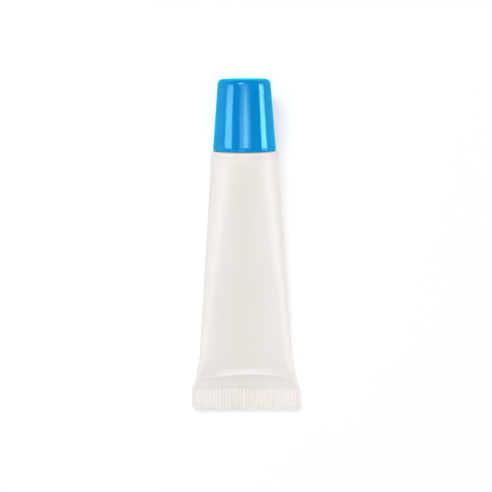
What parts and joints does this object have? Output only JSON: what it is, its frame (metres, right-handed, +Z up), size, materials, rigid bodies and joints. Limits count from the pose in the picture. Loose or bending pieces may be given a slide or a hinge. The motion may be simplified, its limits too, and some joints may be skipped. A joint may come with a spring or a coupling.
{
  "type": "lip cream tube",
  "caption": "Squeeze tube for lip cream lying on its flat belly, with a ribbed crimp, a slanted applicator tip and a tapered screw cap that lifts off.",
  "frame": {"origin": "on the table under the middle of the whole tube, which lies on its belly facet", "axes": "+Y runs along the tube from the crimp to the cap, +Z is up, and +X runs across the crimp"},
  "size_m": [0.0256, 0.0786, 0.0163],
  "materials": {
    "sleeve_film": "satin, slightly see-through warm white film",
    "head_plastic": "smooth milky white moulding",
    "lip_cream": "soft pale cream",
    "cap_plastic": "glossy clear blue moulding"
  },
  "bodies": {
    "tube": {"tube_sleeve": "sleeve_film", "tube_head": "head_plastic", "cream": "lip_cream"},
    "cap": {"screw_cap": "cap_plastic"}
  },
  "joints": [
    {"name": "cap_lift", "type": "slide", "parent": "tube", "child": "cap", "axis": [0, 0.9934, 0.1144], "range_m": [0, 0.02]}
  ]
}
